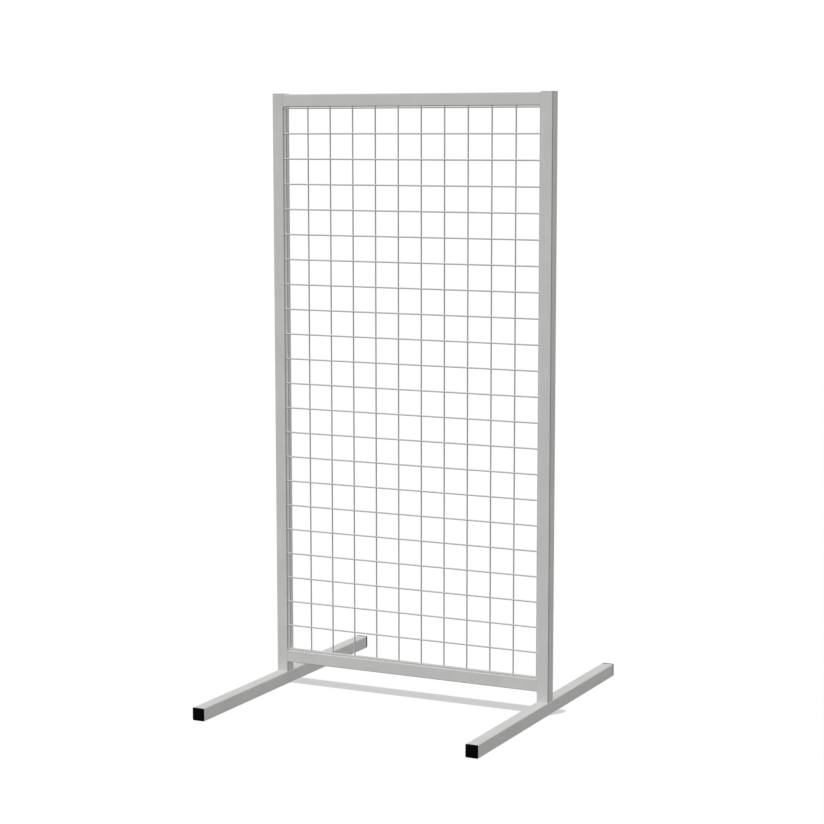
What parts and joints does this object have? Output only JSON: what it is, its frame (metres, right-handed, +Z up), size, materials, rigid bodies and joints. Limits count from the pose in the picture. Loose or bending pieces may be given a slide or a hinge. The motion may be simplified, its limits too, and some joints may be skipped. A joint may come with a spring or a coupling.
{
  "type": "wire mesh display panel",
  "caption": "Free-standing display panel: a square-tube frame filled with welded wire mesh for hooks and shelves, standing on two long tube feet with plastic end caps.",
  "frame": {"origin": "on the floor, midway between the two feet and level with the middle of the uprights' depth", "axes": "+Z up, -Y out of the front (the side with the horizontal wires), +X to the right seen from the front"},
  "size_m": [0.605, 0.685, 1.2018],
  "materials": {
    "frame_powder_coat": "satin light grey powder coat on steel tube",
    "wire_powder_coat": "satin light grey powder coat on steel wire",
    "black_plastic": "moulded black plastic, fine texture",
    "zinc_plate": "bright zinc plate"
  },
  "bodies": {
    "root": {"top_rail": "frame_powder_coat", "bottom_rail": "frame_powder_coat", "vertical_wire_01": "wire_powder_coat", "vertical_wire_02": "wire_powder_coat", "vertical_wire_03": "wire_powder_coat", "vertical_wire_04": "wire_powder_coat", "vertical_wire_05": "wire_powder_coat", "vertical_wire_06": "wire_powder_coat", "vertical_wire_07": "wire_powder_coat", "vertical_wire_08": "wire_powder_coat", "vertical_wire_09": "wire_powder_coat", "vertical_wire_10": "wire_powder_coat", "vertical_wire_11": "wire_powder_coat", "vertical_wire_12": "wire_powder_coat", "horizontal_wire_01": "wire_powder_coat", "horizontal_wire_02": "wire_powder_coat", "horizontal_wire_03": "wire_powder_coat", "horizontal_wire_04": "wire_powder_coat", "horizontal_wire_05": "wire_powder_coat", "horizontal_wire_06": "wire_powder_coat", "horizontal_wire_07": "wire_powder_coat", "horizontal_wire_08": "wire_powder_coat", "horizontal_wire_09": "wire_powder_coat", "horizontal_wire_10": "wire_powder_coat", "horizontal_wire_11": "wire_powder_coat", "horizontal_wire_12": "wire_powder_coat", "horizontal_wire_13": "wire_powder_coat", "horizontal_wire_14": "wire_powder_coat", "horizontal_wire_15": "wire_powder_coat", "horizontal_wire_16": "wire_powder_coat", "horizontal_wire_17": "wire_powder_coat", "horizontal_wire_18": "wire_powder_coat", "horizontal_wire_19": "wire_powder_coat", "horizontal_wire_20": "wire_powder_coat", "horizontal_wire_21": "wire_powder_coat", "horizontal_wire_22": "wire_powder_coat", "horizontal_wire_23": "wire_powder_coat", "left_upright": "frame_powder_coat", "left_upright_top_plate": "frame_powder_coat", "left_foot": "frame_powder_coat", "left_foot_front_cap": "black_plastic", "left_foot_rear_cap": "black_plastic", "left_foot_bolt": "zinc_plate", "left_foot_flat_washer": "zinc_plate", "left_foot_spring_washer": "zinc_plate", "left_upright_threaded_block": "zinc_plate", "right_upright": "frame_powder_coat", "right_upright_top_plate": "frame_powder_coat", "right_foot": "frame_powder_coat", "right_foot_front_cap": "black_plastic", "right_foot_rear_cap": "black_plastic", "right_foot_bolt": "zinc_plate", "right_foot_flat_washer": "zinc_plate", "right_foot_spring_washer": "zinc_plate", "right_upright_threaded_block": "zinc_plate"}
  },
  "joints": []
}
